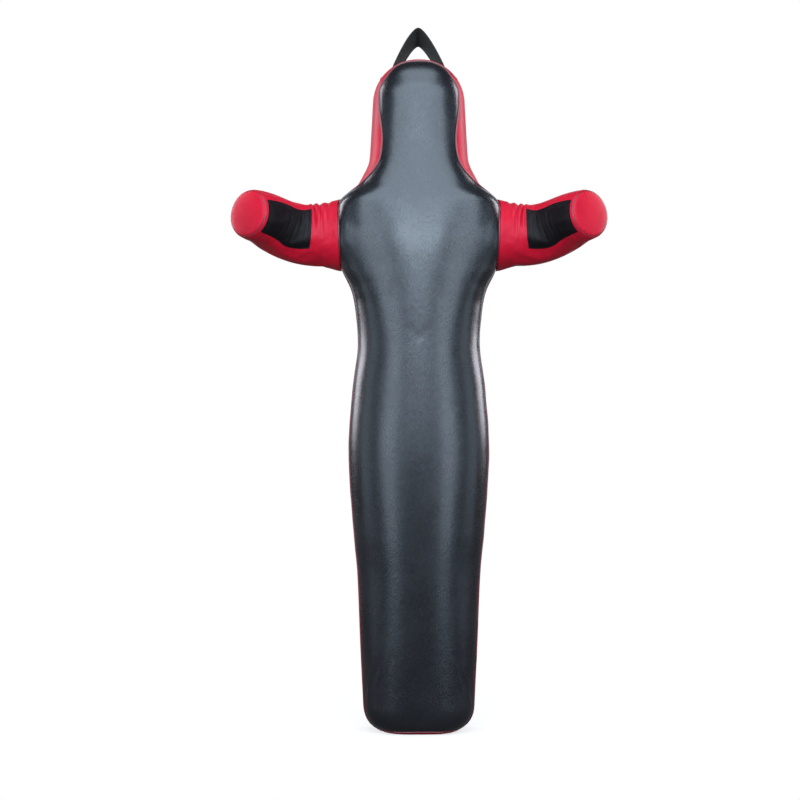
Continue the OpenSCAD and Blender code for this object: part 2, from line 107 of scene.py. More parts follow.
# Seams in the side view: share of the height, and the seam's place in mm from front to back
FRONT_SEAM = np.array([
    [0, -28], [0.20, -30], [0.42, -20], [0.60, -12], [0.67, -20], [0.70, -32], [0.79, -32], [0.80, -38],
    [0.812, -60], [0.822, -71], [0.835, -75.5], [0.853, -76.5], [0.871, -75.5], [0.889, -72.5],
    [0.907, -67], [0.925, -60], [0.94, -58], [0.953, -52], [0.963, -54], [0.977, -47], [0.99, -35], [1, -33],
]) * [BODY_H, MM]
BACK_SEAM = np.array([
    [0, 32], [0.30, 36], [0.79, 38], [0.86, 48], [0.92, 62], [0.955, 72], [1, 76],
]) * [BODY_H, MM]

# ---------------------------------------------------------------- smooth curves


def along(table, column, at):
    """The smooth curve through a table's stations, with no overshoot between them."""
    x, y = table[:, 0], table[:, column]
    steep = np.diff(y) / np.diff(x)
    slope = np.empty(len(x))
    slope[0], slope[-1] = steep[0], steep[-1]
    a, b = steep[:-1], steep[1:]
    safe = np.where(a * b > 0, a + b, 1)
    slope[1:-1] = np.where(a * b > 0, 2 * a * b / safe, 0)
    z = np.clip(at, x[0], x[-1])
    i = np.clip(np.searchsorted(x, z, side="right") - 1, 0, len(x) - 2)
    h = x[i + 1] - x[i]
    u = (z - x[i]) / h
    return (y[i] * (1 + 2 * u) * (1 - u) ** 2 + slope[i] * h * u * (1 - u) ** 2
            + y[i + 1] * u * u * (3 - 2 * u) + slope[i + 1] * h * u * u * (u - 1))


def ease(u):
    v = np.clip(u, 0, 1)
    return v * v * (3 - 2 * v)


def unit(v):
    return v / np.maximum(np.linalg.norm(v, axis=-1, keepdims=True), 1e-12)


def distances(line):
    """How far along a line each of its points lies."""
    return np.concatenate([[0], np.cumsum(np.linalg.norm(np.diff(line, axis=0), axis=1))])


# ---------------------------------------------------------------- the body's surface
def foot_cut(z, r):
    up = np.clip(1 - z / FOOT_R[2], 0, 1)
    return r * (1 - np.sqrt(1 - up * up))


def section(z):
    """Half width, front depth, back depth and squareness of the level section at height z."""
    z = np.asarray(z, float)
    k = np.sqrt(np.clip(1 - (np.maximum(z - CROWN_Z, 0) / CROWN_R) ** 2, 0, 1))
    w = (along(BODY, 1, z) - foot_cut(z, FOOT_R[0])) * k
    front = (along(BODY, 2, z) - foot_cut(z, FOOT_R[1])) * k
    back = (along(BODY, 3, z) - foot_cut(z, FOOT_R[1])) * k
    return w, front, back, along(BODY, 4, z)


def side_x(y, z):
    w, front, back, n = section(z)
    d = np.maximum(np.where(y < 0, front, back), 1e-9)
    return w * np.clip(1 - (np.abs(y) / d) ** n, 0, 1) ** (1 / n)


def on_section(angle, z):
    """The point of the section at height z that lies in the direction angle from its middle."""
    w, front, back, n = section(z)
    d = np.where(np.sin(angle) < 0, front, back)
    r = ((np.abs(np.cos(angle)) / w) ** n + (np.abs(np.sin(angle)) / d) ** n) ** (-1 / n)
    return r * np.cos(angle), r * np.sin(angle)


# Columns of the body's grid, all the way round, and where they meet the seams
SIDE = 40
FRONT_COLS, GUSSET_COLS = 68, 13
AROUND = 4 * SIDE
COL_FRONT_LEFT = FRONT_COLS // 2              # front seam on the +X side; column 0 is the middle of the front
COL_BACK_LEFT = COL_FRONT_LEFT + GUSSET_COLS
COL_BACK_MID = AROUND // 2
COL_BACK_RIGHT = AROUND - COL_BACK_LEFT
COL_FRONT_RIGHT = AROUND - COL_FRONT_LEFT
CORNER = SIDE // 2                            # column of the crown grid's front corner on the +X side
ROW_SEAM_FRONT = COL_FRONT_LEFT - CORNER
ROW_SEAM_BACK = COL_BACK_LEFT - CORNER
RING_STEP = 8 * MM


def spread(low, high):
    count = max(1, round((high - low) / RING_STEP))
    return list(np.linspace(low, high, count + 1)[:-1])


def ring_heights():
    sides = [0.0, 0.0008, 0.002, 0.0035]
    return np.array(
        sides + spread(BASE_TOP, ARM_Z - ARMHOLE_R) + spread(ARM_Z - ARMHOLE_R, ARM_Z + ARMHOLE_R)
        + spread(ARM_Z + ARMHOLE_R, CROWN_Z) + [CROWN_Z]
    )


def ring(z):
    """One level ring of the grid: even steps along the front, the gussets and the back."""
    y_front, y_back = along(FRONT_SEAM, 1, z), along(BACK_SEAM, 1, z)
    a_front = math.atan2(y_front, side_x(y_front, z))
    a_back = math.atan2(y_back, side_x(y_back, z))
    stops = [-math.pi / 2, a_front, a_back, math.pi / 2]
    counts = [COL_FRONT_LEFT, GUSSET_COLS, COL_BACK_MID - COL_BACK_LEFT]
    half = [np.array([[0.0, -section(z)[1]]])]
    for a, b, count in zip(stops[:-1], stops[1:], counts):
        t = np.linspace(a, b, 220)
        x, y = on_section(t, z)
        gone = distances(np.stack([x, y], 1))
        want = np.linspace(0, gone[-1], count + 1)[1:]
        half.append(np.stack([np.interp(want, gone, x), np.interp(want, gone, y)], 1))
    half = np.concatenate(half)
    half[-1] = [0, half[-1][1]]
    other = half[1:-1][::-1] * [-1, 1]
    flat = np.concatenate([half, other])
    return np.column_stack([flat, np.full(len(flat), z)])


def to_ball(p):
    """Points of the crown as directions on a unit ball, and back again with from_ball."""
    w, front, back, n = section(CROWN_Z)
    up = np.clip((p[..., 2] - CROWN_Z) / CROWN_R, 0, 1)
    x, y = p[..., 0] / w, p[..., 1] / np.where(p[..., 1] < 0, front, back)
    flat = unit(np.stack([x, y], -1)) * np.sqrt(1 - up * up)[..., None]
    return np.concatenate([flat, up[..., None]], -1)


def from_ball(q):
    w, front, back, n = section(CROWN_Z)
    q = unit(q)
    k = np.hypot(q[..., 0], q[..., 1])
    c, s = q[..., 0] / np.maximum(k, 1e-9), q[..., 1] / np.maximum(k, 1e-9)
    stretch = (np.abs(c) ** n + np.abs(s) ** n) ** (-1 / n)
    x, y = k * stretch * c * w, k * stretch * s * np.where(s < 0, front, back)
    return np.stack([x, y, CROWN_Z + CROWN_R * np.clip(q[..., 2], 0, 1)], -1)


def fill_between(low, high, left, right):
    """A grid between four edges; low and high run along the columns, left and right along the rows."""
    u = np.linspace(0, 1, len(low))[None, :, None]
    v = np.linspace(0, 1, len(left))[:, None, None]
    edges = (1 - v) * low[None] + v * high[None] + (1 - u) * left[:, None] + u * right[:, None]
    corners = ((1 - u) * (1 - v) * low[0] + u * (1 - v) * low[-1]
               + (1 - u) * v * high[0] + u * v * high[-1])
    return edges - corners


def seam_over_crown(table):
    """Points of a seam from the -X side of the head over the crown to the +X side."""
    depth = section(CROWN_Z)[1 if table is FRONT_SEAM else 2]
    top = CROWN_Z + CROWN_R * math.sqrt(1 - (along(table, 1, BODY_H) / depth) ** 2)
    for _ in range(20):
        top = CROWN_Z + CROWN_R * math.sqrt(1 - (along(table, 1, top) / depth) ** 2)
    z = top - (top - CROWN_Z) * np.linspace(0, 1, 200) ** 2
    y = along(table, 1, z)
    x = side_x(y, z)
    x[0] = 0
    half = np.stack([x, y, z], 1)
    line = np.concatenate([half[::-1] * [-1, 1, 1], half[1:]])
    gone = distances(line)
    want = np.linspace(0, gone[-1], SIDE + 1)
    return np.stack([np.interp(want, gone, line[:, c]) for c in range(3)], 1)


def edge_columns():
    """A ring's columns along the front, back, -X and +X edges of the square grid that closes it."""
    n = np.arange(SIDE + 1)
    return (n - CORNER) % AROUND, AROUND - CORNER - SIDE - n, (-CORNER - n) % AROUND, CORNER + n


def crown_grid(top_ring):
    """Rows from the front corner to the back corner; row and column ends lie on the top ring."""
    front, back, right, left = (top_ring[cols] for cols in edge_columns())
    rows = [(0, front), (ROW_SEAM_FRONT, seam_over_crown(FRONT_SEAM)),
            (ROW_SEAM_BACK, seam_over_crown(BACK_SEAM)), (SIDE, back)]
    grid = np.zeros((SIDE + 1, SIDE + 1, 3))
    right, left = to_ball(right), to_ball(left)
    for (a, low), (b, high) in zip(rows[:-1], rows[1:]):
        patch = fill_between(to_ball(low), to_ball(high), right[a:b + 1], left[a:b + 1])
        grid[a:b + 1] = from_ball(patch)
        grid[a], grid[b] = low, high
    return grid


def armhole_pull(rings, heights):
    """Bends the grid so that one loop of its edges is the round armhole."""
    middle = (COL_FRONT_LEFT + COL_BACK_LEFT) // 2
    half, margin = 15, 8         # columns from the armhole's middle to its edge, and then to untouched ones
    inner = np.zeros(rings.shape[:2], bool)
    for j, z in enumerate(heights):
        q = (z - ARM_Z) / ARMHOLE_R
        for i in range(middle - half - margin, middle + half + margin + 1):
            p = (i - middle) / half
            m = max(abs(p), abs(q))
            if m > 1.4 or m < 1e-9:
                inner[j, i] = m < 1e-9
                continue
            away = np.array([p, q]) / math.hypot(p, q) * m * ARMHOLE_R
            keep = float(ease((m - 1) / 0.4))
            y = (1 - keep) * away[0] + keep * rings[j, i, 1]
            up = (1 - keep) * (ARM_Z + away[1]) + keep * z
            x = float(side_x(y, up)) if keep < 1 else rings[j, i, 0]
            rings[j, i] = [x, y, up]
            rings[j, AROUND - i] = [-x, y, up]
            inner[j, i] = m < 1 - 1e-6
    return inner, (middle - half, middle + half)


class Grid:
    """The casing as one closed grid of points, with the panel that each face belongs to."""

    def __init__(self):
        heights = ring_heights()
        rings = np.stack([ring(z) for z in heights])
        inner, self.arm_cols = armhole_pull(rings, heights)
        self.heights = heights
        self.rings = len(heights)
        self.base_row = int(np.argmin(np.abs(heights - BASE_TOP)))
        crown = crown_grid(rings[-1])
        foot = fill_between(*(rings[0][cols] for cols in edge_columns()))
        self.points = [rings.reshape(-1, 3)]
        self.crown_id = self.disc_ids(self.rings - 1, crown)
        self.foot_id = self.disc_ids(0, foot)
        self.points = np.concatenate(self.points)
        self.faces, self.panels = [], []
        self.add_sides(inner)
        self.add_crown()
        self.add_foot()

    def disc_ids(self, row, disc):
        ids = np.zeros((SIDE + 1, SIDE + 1), int)
        start = sum(len(p) for p in self.points)
        ids[0], ids[-1], ids[:, 0], ids[:, -1] = (row * AROUND + cols for cols in edge_columns())
        ids[1:-1, 1:-1] = start + np.arange((SIDE - 1) ** 2).reshape(SIDE - 1, SIDE - 1)
        self.points.append(disc[1:-1, 1:-1].reshape(-1, 3))
        return ids

    def panel_of_column(self, i):
        if i < COL_FRONT_LEFT or i >= COL_FRONT_RIGHT:
            return "front_panel"
        if i < COL_BACK_LEFT:
            return "left_flank_gusset"
        if i < COL_BACK_MID:
            return "back_panel_left"
        return "back_panel_right" if i < COL_BACK_RIGHT else "right_flank_gusset"

    def add_sides(self, inner):
        holes = inner | inner[:, (-np.arange(AROUND)) % AROUND]
        for j in range(self.rings - 1):
            for i in range(AROUND):
                k = (i + 1) % AROUND
                if holes[j, i] or holes[j, k] or holes[j + 1, i] or holes[j + 1, k]:
                    continue
                panel = self.panel_of_column(i)
                if j < self.base_row:
                    panel = "base_panel"
                elif panel.endswith("flank_gusset") and self.heights[j] > ARM_Z:
                    panel = "head_gusset"
                low, high = j * AROUND, (j + 1) * AROUND
                self.faces.append([low + i, low + k, high + k, high + i])
                self.panels.append(panel)

    def add_crown(self):
        for r in range(SIDE):
            for c in range(SIDE):
                ids = self.crown_id
                self.faces.append([ids[r, c], ids[r, c + 1], ids[r + 1, c + 1], ids[r + 1, c]])
                if r < ROW_SEAM_FRONT:
                    self.panels.append("front_panel")
                elif r < ROW_SEAM_BACK:
                    self.panels.append("head_gusset")
                else:
                    self.panels.append("back_panel_right" if c < SIDE // 2 else "back_panel_left")

    def add_foot(self):
        for r in range(SIDE):
            for c in range(SIDE):
                ids = self.foot_id
                self.faces.append([ids[r, c], ids[r + 1, c], ids[r + 1, c + 1], ids[r, c + 1]])
                self.panels.append("base_panel")

    # Seam lines, as lists of point numbers
    def column_line(self, col, low, high):
        rows = [j for j, z in enumerate(self.heights) if low - 1e-6 <= z <= high + 1e-6]
        return [j * AROUND + col for j in rows]

    def over_crown(self, col, row):
        up = self.column_line(AROUND - col, ARM_Z + ARMHOLE_R, CROWN_Z)
        down = self.column_line(col, ARM_Z + ARMHOLE_R, CROWN_Z)[::-1]
        return up + list(self.crown_id[row][1:-1]) + down

    def back_over_crown(self):
        """Middle of the back, from the top of the zip over the crown to the back seam."""
        up = self.column_line(COL_BACK_MID, ZIP_TOP, CROWN_Z)
        return up + list(self.crown_id[ROW_SEAM_BACK:SIDE, SIDE // 2][::-1])

    def armhole_line(self):
        """The loop of the +X armhole, from its front lower corner."""
        rows = [j for j, z in enumerate(self.heights) if abs(z - ARM_Z) <= ARMHOLE_R + 1e-6]
        a, b = self.arm_cols
        loop = [rows[0] * AROUND + i for i in range(a, b)] + [j * AROUND + b for j in rows[:-1]]
        loop += [rows[-1] * AROUND + i for i in range(b, a, -1)] + [j * AROUND + a for j in rows[:0:-1]]
        return loop

    def mirror_line(self, line):
        return [(i // AROUND) * AROUND + (-(i % AROUND)) % AROUND for i in line]


# ---------------------------------------------------------------- making objects
def new_object(name, points, faces):
    mesh = bpy.data.meshes.new(name)
    mesh.from_pydata([tuple(p) for p in points], [], [list(map(int, f)) for f in faces])
    mesh.update()
    mesh.shade_smooth()
    obj = bpy.data.objects.new(name, mesh)
    bpy.context.scene.collection.objects.link(obj)
    return obj


def point_normals(obj):
    no = np.empty(len(obj.data.vertices) * 3)
    obj.data.vertices.foreach_get("normal", no)
    return no.reshape(-1, 3)


def apply_modifiers(obj):
    bpy.context.view_layer.update()
    graph = bpy.context.evaluated_depsgraph_get()
    mesh = bpy.data.meshes.new_from_object(obj.evaluated_get(graph))
    obj.modifiers.clear()
    old = obj.data
    obj.data = mesh
    bpy.data.meshes.remove(old)
    obj.data.shade_smooth()
    return obj


def subdivide(obj):
    mod = obj.modifiers.new("Subdivision", "SUBSURF")
    mod.levels = mod.render_levels = 1
    return apply_modifiers(obj)


def thicken(obj, thickness, offset=-1):
    """Gives a sheet its thickness, on the inside or, with an offset of 0, on both sides."""
    mod = obj.modifiers.new("Thickness", "SOLIDIFY")
    mod.thickness, mod.offset = thickness, offset
    return apply_modifiers(obj)


def quads(rows, cols, closed):
    """The faces of a grid of points, row by row; a closed grid joins its last column to its first."""
    faces = []
    for j in range(rows - 1):
        for i in range(cols if closed else cols - 1):
            k = (i + 1) % cols
            faces.append([j * cols + i, (j + 1) * cols + i, (j + 1) * cols + k, j * cols + k])
    return faces


def capped(rows, cols, start=0):
    """The outward faces of a closed grid of points and its two ends, numbered from start."""
    ends = [range(cols), range(rows * cols - 1, (rows - 1) * cols - 1, -1)]
    return [[start + k for k in face] for face in quads(rows, cols, True) + ends]


def tube(name, line, radius, closed=False, up=(0, 1, 0)):
    """A round cord along a line of points, with capped or joined ends."""
    corners, count = 10, len(line)
    if closed:
        ahead = unit(np.roll(line, -1, 0) - np.roll(line, 1, 0))
    else:
        ahead = unit(np.gradient(line, axis=0))
    side = unit(np.cross(ahead, np.asarray(up, float)))
    up = np.cross(side, ahead)
    turn = np.linspace(0, 2 * math.pi, corners, endpoint=False)
    around = (side[:, None] * np.cos(turn)[None, :, None] + up[:, None] * np.sin(turn)[None, :, None])
    points = (line[:, None] + radius * around).reshape(-1, 3)
    if closed:
        faces = np.array(quads(count + 1, corners, True)) % len(points)
    else:
        faces = capped(count, corners)
    return new_object(name, points, faces)


# One stitch: share of its length, thickness and rise out of the cloth, both as shares of its width
STITCH = ((0, 0.35, -0.5), (0.2, 0.85, 0.1), (0.5, 1, 0.35), (0.8, 0.85, 0.1), (1, 0.35, -0.5))


def stitches(name, path, out, pitch=4.2 * MM, length=3.1 * MM, width=0.55 * MM):
    """A row of short thread stitches along a line of points, each half sunk in the cloth."""
    path, out = np.asarray(path, float), np.asarray(out, float)
    gone = distances(path)
    places = np.arange(pitch / 2, gone[-1], pitch)
    at = lambda d, line: np.stack([np.interp(d, gone, line[:, c]) for c in range(3)], -1)
    points, faces = [], []
    turn = np.linspace(0, 2 * math.pi, 6, endpoint=False)
    for place in places:
        ends = at(np.array([place - length / 2, place + length / 2]), path)
        ahead, up = unit(ends[1] - ends[0]), at(place, out)
        across = unit(np.cross(ahead, up))
        start = len(points)
        around = np.cos(turn)[:, None] * across + np.sin(turn)[:, None] * up
        for step, thick, rise in STITCH:
            middle = ends[0] * (1 - step) + ends[1] * step + up * rise * width
            points.extend(middle + thick * width * around)
        faces += capped(len(STITCH), 6, start)
    return new_object(name, points, faces)


def smooth_line(points, closed=False):
    """Evens out a line of points, twice over."""
    line = np.asarray(points, float)
    for _ in range(2):
        if closed:
            line = (np.roll(line, 1, 0) + 2 * line + np.roll(line, -1, 0)) / 4
        else:
            line[1:-1] = (line[:-2] + 2 * line[1:-1] + line[2:]) / 4
    return line


def join(parts, name):
    """Makes one object of several."""
    mesh = bmesh.new()
    for part in parts:
        mesh.from_mesh(part.data)
        bpy.data.objects.remove(part)
    data = bpy.data.meshes.new(name)
    mesh.to_mesh(data)
    mesh.free()
    data.shade_smooth()
    obj = bpy.data.objects.new(name, data)
    bpy.context.scene.collection.objects.link(obj)
    return obj


def finish_piece(obj, body, slot, material, replaces=()):
    obj.data.materials.clear()
    obj.data.materials.append(material)
    if replaces:
        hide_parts(*replaces)
    if body:
        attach(obj, body)
    return obj


# ---------------------------------------------------------------- materials
class Nodes:
    """A short way to write a material's node tree."""

    def __init__(self, name):
        self.material = bpy.data.materials.new(name)
        self.material.use_nodes = True
        self.tree = self.material.node_tree
        self.tree.nodes.clear()
        self.out = self.add("OutputMaterial")
        self.shader = self.add("BsdfPrincipled")
        self.tree.links.new(self.shader.outputs[0], self.out.inputs["Surface"])
        self.place = self.add("TexCoord").outputs["Object"]

    def add(self, kind, **settings):
        node = self.tree.nodes.new("ShaderNode" + kind)
        for key, value in settings.items():
            setattr(node, key, value)
        return node

    def link(self, source, target):
        self.tree.links.new(source, target)

    def put(self, name, value):
        socket = self.shader.inputs[name]
        if hasattr(value, "links"):
            self.link(value, socket)
        else:
            socket.default_value = value

    def noise(self, scale, detail=3.0, rough=0.5):
        node = self.add("TexNoise")
        node.inputs["Scale"].default_value = scale
        node.inputs["Detail"].default_value = detail
        node.inputs["Roughness"].default_value = rough
        self.link(self.place, node.inputs["Vector"])
        return node.outputs["Fac"]

    def cells(self, scale, feature):
        node = self.add("TexVoronoi", feature=feature)
        node.inputs["Scale"].default_value = scale
        self.link(self.place, node.inputs["Vector"])
        return node.outputs["Distance"]

    def waves(self, scale, direction, distortion, source):
        node = self.add("TexWave", bands_direction=direction)
        node.inputs["Scale"].default_value = scale
        node.inputs["Distortion"].default_value = distortion
        self.link(source, node.inputs["Vector"])
        return node.outputs["Fac"]

    def ramp(self, value, stops):
        node = self.add("ValToRGB")
        node.color_ramp.elements[0].position, node.color_ramp.elements[0].color = stops[0]
        node.color_ramp.elements[1].position, node.color_ramp.elements[1].color = stops[-1]
        for position, colour in stops[1:-1]:
            node.color_ramp.elements.new(position).color = colour
        self.link(value, node.inputs["Fac"])
        return node.outputs["Color"]

    def span(self, value, low, high, a=0.0, b=1.0):
        node = self.add("MapRange")
        for key, number in (("From Min", a), ("From Max", b), ("To Min", low), ("To Max", high)):
            node.inputs[key].default_value = number
        self.link(value, node.inputs["Value"])
        return node.outputs["Result"]

    def maths(self, operation, a, b):
        node = self.add("Math", operation=operation)
        for socket, value in zip(node.inputs, (a, b)):
            if hasattr(value, "links"):
                self.link(value, socket)
            else:
                socket.default_value = value
        return node.outputs[0]

    def bump(self, height, distance, strength=1.0, under=None):
        node = self.add("Bump")
        node.inputs["Distance"].default_value = distance
        node.inputs["Strength"].default_value = strength
        self.link(height, node.inputs["Height"])
        if under is not None:
            self.link(under, node.inputs["Normal"])
        return node.outputs["Normal"]


def rgba(colour, factor=1.0):
    return (*[min(1.0, c * factor) for c in colour], 1.0)


def leathercloth(name, colour, rough, grain=0.35, coat=0.25, shine=0.5, tint=(1, 1, 1)):
    """PU leathercloth: a pebbled grain, a satin top coat and slow changes of tone and gloss."""
    m = Nodes(name)
    blotch = m.noise(9, 4, 0.55)
    fine = m.noise(160, 3, 0.6)
    tone = m.maths("ADD", m.maths("MULTIPLY", blotch, 0.7), m.maths("MULTIPLY", fine, 0.3))
    tones = [(0.35, rgba(colour, 0.82)), (0.5, rgba(colour)), (0.68, rgba(colour, 1.2))]
    m.put("Base Color", m.ramp(tone, tones))
    pebbles = m.cells(620, "SMOOTH_F1")
    creases = m.cells(330, "DISTANCE_TO_EDGE")
    soft = m.noise(38, 3, 0.5)
    first = m.bump(pebbles, 0.00035, grain)
    second = m.bump(m.ramp(creases, [(0.0, (0, 0, 0, 1)), (0.12, (1, 1, 1, 1))]), 0.00018, grain, first)
    third = m.bump(soft, 0.0012, 0.25, second)
    m.put("Normal", third)
    uneven = m.maths("ADD", m.maths("MULTIPLY", blotch, 0.6), m.maths("MULTIPLY", pebbles, 0.4))
    m.put("Roughness", m.span(uneven, rough - 0.06, rough + 0.08, 0.3, 0.7))
    m.put("Specular IOR Level", shine)
    m.put("Specular Tint", rgba(tint))
    m.put("Coat Weight", coat)
    m.put("Coat Roughness", rough * 0.75)
    return m.material


def woven(name, colour, pitch, upright=False):
    """Woven webbing, whose UV map is in metres across the band and along it, or an upright flat tape."""
    m = Nodes(name)
    uv = m.add("TexCoord").outputs["UV"]
    if upright:
        apart, flat = m.add("SeparateXYZ"), m.add("CombineXYZ")
        m.link(m.place, apart.inputs[0])
        m.link(apart.outputs["X"], flat.inputs["X"])
        m.link(apart.outputs["Z"], flat.inputs["Y"])
        uv = flat.outputs[0]
    ribs = m.waves(0.5 / pitch, "X", 0.0, uv)
    picks = m.waves(0.4 / pitch, "Y", 0.4, uv)
    # The weave's height sets the bump and also darkens the colour where it sinks between the yarns: painted
    # shade.
    weave_relief_and_shade = m.maths("MULTIPLY", ribs, picks)
    fuzz = m.noise(900, 3, 0.7)
    # Colour tone: painted shade from the weave's hollows, plus random fuzz tone.
    tone = m.maths("ADD", m.maths("MULTIPLY", weave_relief_and_shade, 0.55), m.maths("MULTIPLY", fuzz, 0.45))
    m.put("Base Color", m.ramp(tone, [(0.2, rgba(colour, 0.55)), (0.75, rgba(colour, 1.45))]))
    first = m.bump(weave_relief_and_shade, 0.0006, 0.7)
    m.put("Normal", m.bump(fuzz, 0.0002, 0.4, first))
    m.put("Roughness", 0.82)
    m.put("Specular IOR Level", 0.2)
    m.put("Sheen Weight", 0.05)
    m.put("Sheen Roughness", 0.5)
    return m.material


def thread(name, colour):
    m = Nodes(name)
    m.put("Base Color", m.ramp(m.noise(1500, 2), [(0.3, rgba(colour, 0.7)), (0.7, rgba(colour, 1.3))]))
    m.put("Roughness", 0.6)
    m.put("Normal", m.bump(m.noise(2500, 2), 0.0001, 0.5))
    return m.material


def moulded(name, colour, rough):
    m = Nodes(name)
    m.put("Base Color", m.ramp(m.noise(60, 3), [(0.3, rgba(colour, 0.85)), (0.7, rgba(colour, 1.15))]))
    m.put("Roughness", m.span(m.noise(300, 3), rough - 0.05, rough + 0.08))
    m.put("Normal", m.bump(m.noise(1800, 2), 0.00004, 0.4))
    return m.material


def cast_metal(name, colour, rough):
    m = Nodes(name)
    wear = m.noise(420, 4, 0.65)
    m.put("Base Color", m.ramp(wear, [(0.35, rgba(colour, 0.7)), (0.65, rgba(colour, 1.1))]))
    m.put("Metallic", 1.0)
    m.put("Roughness", m.span(wear, rough - 0.08, rough + 0.15))
    m.put("Normal", m.bump(m.noise(900, 3), 0.00005, 0.5))
    return m.material


BLACK = leathercloth("black_leathercloth", (0.0058, 0.006, 0.0078), 0.27, coat=0.15, tint=(0.86, 0.93, 1.0))
RED = leathercloth("red_leathercloth", (0.37, 0.0045, 0.017), 0.44, 0.35, 0.03, 0.16, (1.0, 0.72, 0.98))
PIPING = leathercloth("crimson_piping", (0.11, 0.006, 0.014), 0.42, 0.2)
PATCH = leathercloth("patch_leathercloth", (0.003, 0.0022, 0.003), 0.55, 0.4, 0.0, 0.14)
WEBBING = woven("webbing", (0.012, 0.0098, 0.0075), 2.2 * MM)
ZIP_TAPE = woven("zip_tape", (0.012, 0.012, 0.013), 1.0 * MM, upright=True)
ZIP_TEETH = moulded("zip_teeth", (0.02, 0.02, 0.022), 0.4)
ZIP_METAL = cast_metal("zip_metal", (0.42, 0.41, 0.39), 0.3)
BLACK_THREAD = thread("black_thread", (0.016, 0.016, 0.018))


# ---------------------------------------------------------------- cloth
PRESSURE = 2.5
CLOTH_FRAMES = 14


def cloth_move(points, faces, pinned, spare, stiffness, cap):
    """Lets stuffed leathercloth settle between its seams, and returns how far each point moved.

    spare is the share of extra cloth between the pinned points, and cap the farthest that a point may move.
    """
    scene = bpy.context.scene
    used, index = np.unique(np.asarray(faces), return_inverse=True)
    obj = new_object("cloth", points[used], index.reshape(np.shape(faces)))
    group = obj.vertex_groups.new(name="pinned")
    group.add([int(i) for i in np.nonzero(np.isin(used, pinned))[0]], 1.0, "ADD")
    mod = obj.modifiers.new("Cloth", "CLOTH")
    cloth = mod.settings
    cloth.quality = 5
    cloth.mass = 0.4
    cloth.tension_stiffness = cloth.compression_stiffness = stiffness
    cloth.shear_stiffness = stiffness / 3
    cloth.bending_stiffness = 3.0
    cloth.tension_damping = cloth.compression_damping = 12
    cloth.air_damping = 6
    cloth.vertex_group_mass = "pinned"
    cloth.use_pressure = True
    cloth.uniform_pressure_force = PRESSURE
    cloth.shrink_min = -spare
    cloth.effector_weights.gravity = 0
    mod.collision_settings.use_collision = False
    scene.frame_start, scene.frame_end = 1, CLOTH_FRAMES
    mod.point_cache.frame_start, mod.point_cache.frame_end = 1, CLOTH_FRAMES
    for frame_number in range(1, CLOTH_FRAMES + 1):
        scene.frame_set(frame_number)
    settled = obj.evaluated_get(bpy.context.evaluated_depsgraph_get()).to_mesh()
    co = np.empty(len(used) * 3)
    settled.vertices.foreach_get("co", co)
    scene.frame_set(1)
    bpy.data.objects.remove(obj)
    gone = co.reshape(-1, 3) - points[used]
    far = np.linalg.norm(gone, axis=1, keepdims=True)
    moved = np.zeros_like(points)
    moved[used] = gone * (cap * np.tanh(far / cap) / np.maximum(far, 1e-9))
    return moved


# ---------------------------------------------------------------- casing
SKIN = 1.6 * MM
FRONT_SINK = 1.6 * MM, 8 * MM           # depth and reach of the dip at the front seams
OTHER_SINK = 3.0 * MM, 9 * MM
CHEST_HOLLOW = 9 * MM
ZIP_GAP = 8.6 * MM                      # from the middle to each panel's edge


def pull_in(points, normals, lines, depth, reach):
    """Sinks the surface along its seams, unevenly, as gathered leathercloth does."""
    out = points.copy()
    for line in lines:
        path = points[line]
        gone = distances(path)
        tree = kdtree.KDTree(len(path))
        for i, p in enumerate(path):
            tree.insert(Vector(p), i)
        tree.balance()
        for i, p in enumerate(points):
            _, k, d = tree.find(Vector(p))
            if d > reach * 4:
                continue
            pucker = 0.75 + 0.5 * noise.noise(Vector((gone[k] * 38, 3.1, line[0] * 0.01)))
            out[i] -= normals[i] * depth * pucker * math.exp(-(d / reach) ** 1.5)
    return out


def hollow(points):
    """The front falls away a little between the middle of the chest and the armholes.

    high, wide and clear fade this out above and below, towards the middle, and near the armholes.
    """
    x, y, z = points.T
    high = ease((z - (ARM_Z - 140 * MM)) / (70 * MM)) * (1 - ease((z - ARM_Z) / (90 * MM)))
    wide = ease((np.abs(x) - 40 * MM) / (110 * MM))
    clear = ease((np.hypot(y, z - ARM_Z) - ARMHOLE_R) / (25 * MM)) * np.clip(-y / (70 * MM), 0, 1)
    out = points.copy()
    out[:, 1] += CHEST_HOLLOW * high * wide * clear
    return out


def open_zip(points, name):
    """Parts the two back panels over the zip and rolls their edges under."""
    if not name.startswith("back_panel"):
        return points
    side = 1 if name.endswith("left") else -1
    x = side * points[:, 0]
    end = np.minimum(points[:, 2] - (ZIP_LOW - 8 * MM), (ZIP_TOP + 9 * MM) - points[:, 2])
    gap = ZIP_GAP * np.sqrt(np.clip(1 - (1 - np.clip(end / (9 * MM), 0, 1)) ** 2, 0, 1))
    near = 1 - ease(x / (34 * MM))
    out = points.copy()
    out[:, 0] = side * (x + gap * near)
    lip = np.exp(-(x / (7 * MM)) ** 2) * (gap > 0)
    out[:, 1] -= 0.4 * MM * lip
    return out


PANELS = (
    "front_panel", "head_gusset", "left_flank_gusset", "right_flank_gusset",
    "back_panel_left", "back_panel_right", "base_panel",
)


